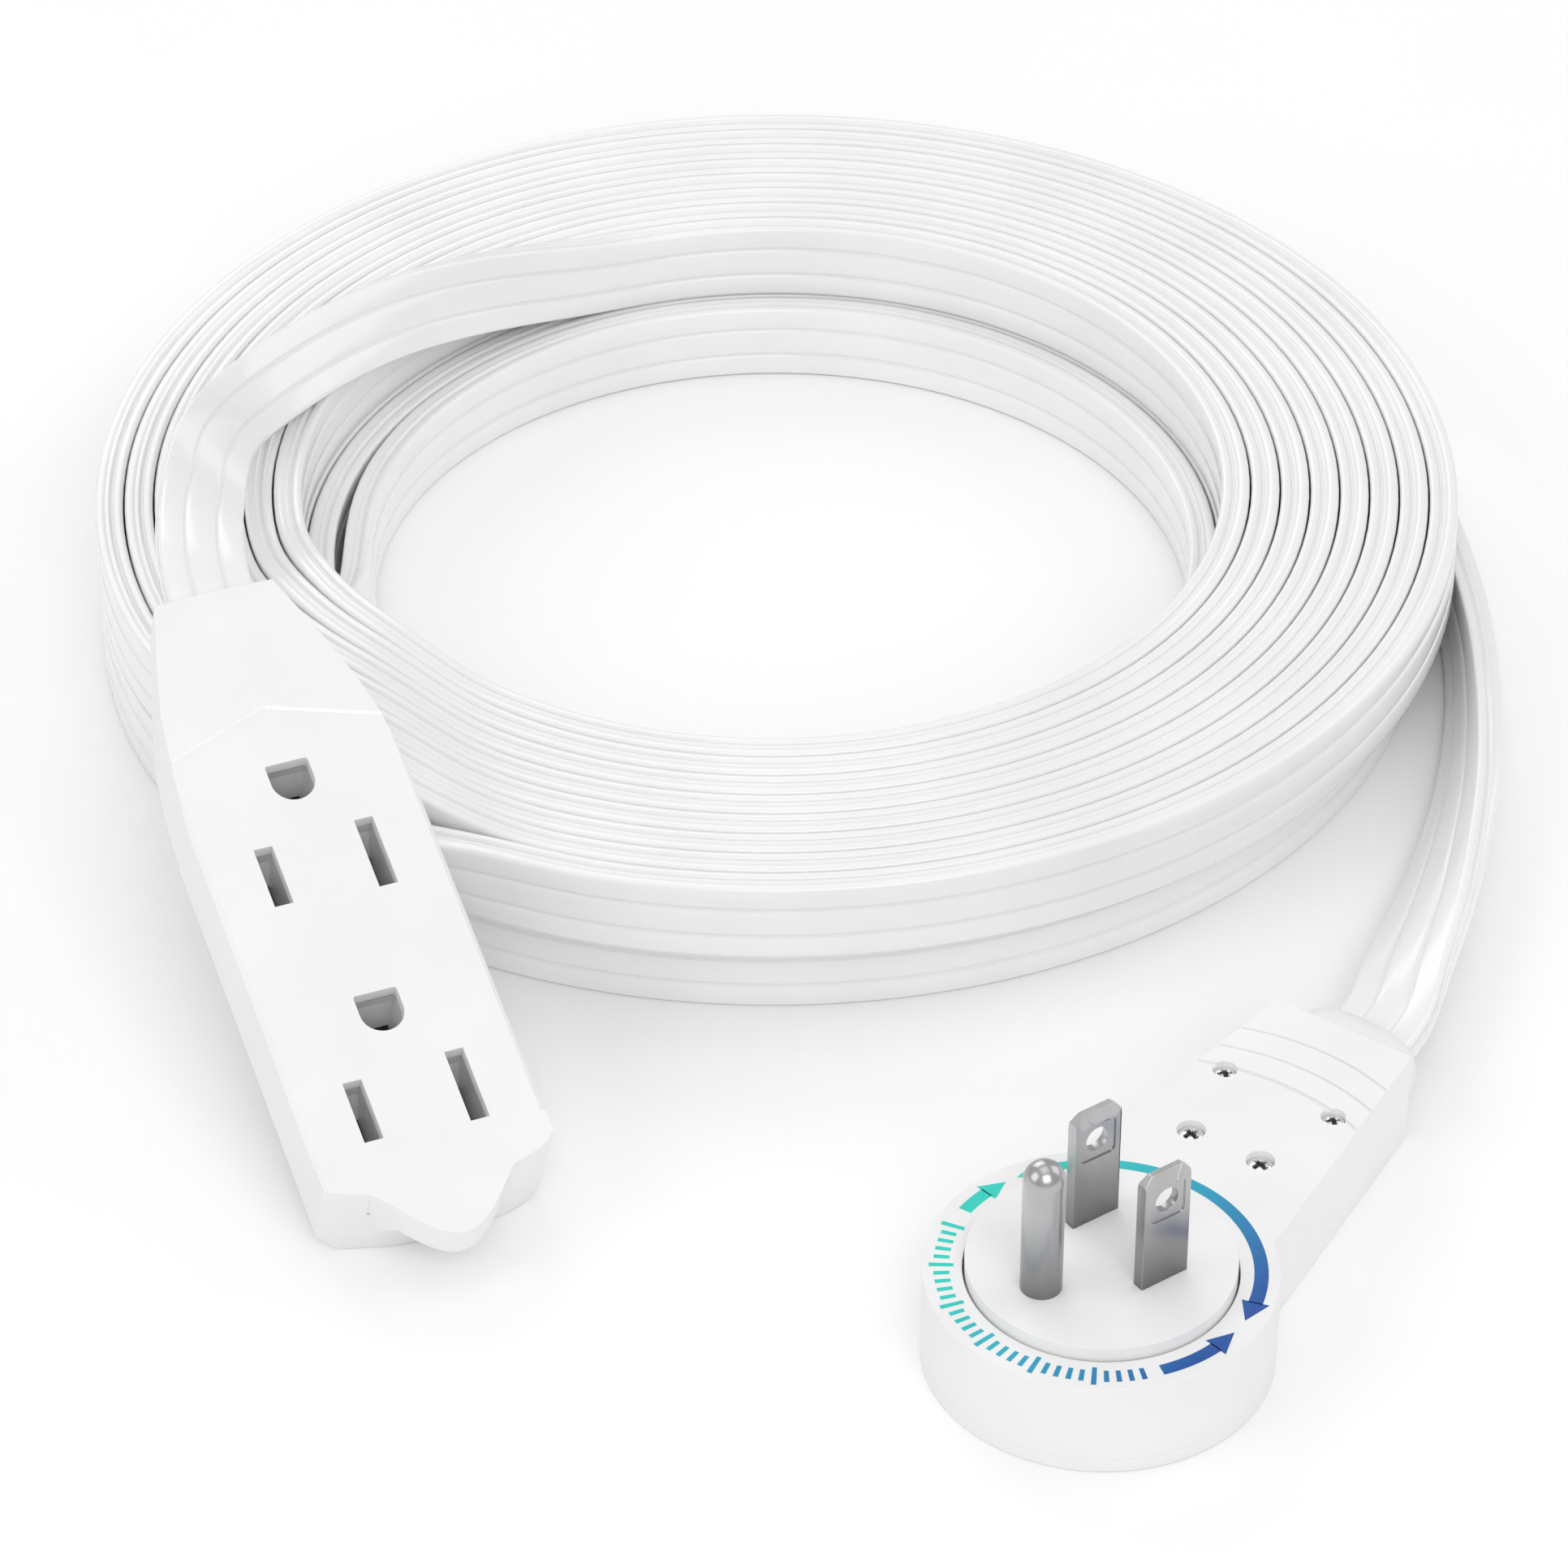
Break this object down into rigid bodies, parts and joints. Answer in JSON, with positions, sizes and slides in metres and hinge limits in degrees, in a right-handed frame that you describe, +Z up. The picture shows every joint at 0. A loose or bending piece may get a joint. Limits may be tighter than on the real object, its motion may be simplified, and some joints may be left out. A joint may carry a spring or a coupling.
{
  "type": "extension cord",
  "caption": "Flat white extension cord in a two-tier coil, with a slim socket block on one end and a round flat plug with a turning prong disc on the other.",
  "frame": {"origin": "on the surface, under the middle of the socket block's bounding box", "axes": "+Z up from the surface; +Y along the socket block in plan, from its hanging tab towards its cord; +X across the block towards the coil"},
  "size_m": [0.1863, 0.257, 0.0421],
  "materials": {
    "shell_white": "fine grain, satin",
    "disc_white": "fine grain, satin",
    "cord_white": "soft glossy vinyl",
    "prong_metal": "nickel plated, polished",
    "screw_steel": "plated steel",
    "brass": "stamped",
    "spring_metal": "spring bronze",
    "contact_metal": "nickel plated",
    "insulator": "moulded, natural",
    "lead_black": "vinyl insulation",
    "lead_white": "vinyl insulation",
    "lead_green": "vinyl insulation"
  },
  "bodies": {
    "cord_and_housings": {"outlet_front_cover": "shell_white", "outlet_back_cover": "shell_white", "outlet_contact_carrier": "insulator", "outlet_live_bus": "contact_metal", "outlet_neutral_bus": "contact_metal", "outlet_ground_bus": "contact_metal", "outlet_cord_clamp": "insulator", "outlet_live_lead": "lead_black", "outlet_neutral_lead": "lead_white", "outlet_ground_lead": "lead_green", "outlet_crimps": "brass", "plug_front_cover": "shell_white", "plug_back_cover": "shell_white", "plug_live_brush": "spring_metal", "plug_neutral_brush": "spring_metal", "plug_ground_brush": "spring_metal", "plug_head_screws": "screw_steel", "plug_neck_screws": "screw_steel", "plug_cord_clamp": "insulator", "plug_strain_relief": "shell_white", "plug_live_lead": "lead_black", "plug_neutral_lead": "lead_white", "plug_ground_lead": "lead_green", "cord_coil_lower": "cord_white", "cord_coil_upper": "cord_white", "cord_tail_outlet": "cord_white", "cord_tail_plug": "cord_white"},
    "turning_disc": {"plug_disc": "disc_white", "plug_disc_base": "insulator", "plug_live_blade": "prong_metal", "plug_neutral_blade": "prong_metal", "plug_ground_pin": "prong_metal", "plug_live_ring": "brass", "plug_neutral_ring": "brass", "plug_ground_stud": "brass"}
  },
  "joints": [
    {"name": "plug_swivel", "type": "hinge", "parent": "cord_and_housings", "child": "turning_disc", "pos_m": [0.0627, -0.0806, 0], "axis": [0, 0, 1], "continuous": true}
  ]
}
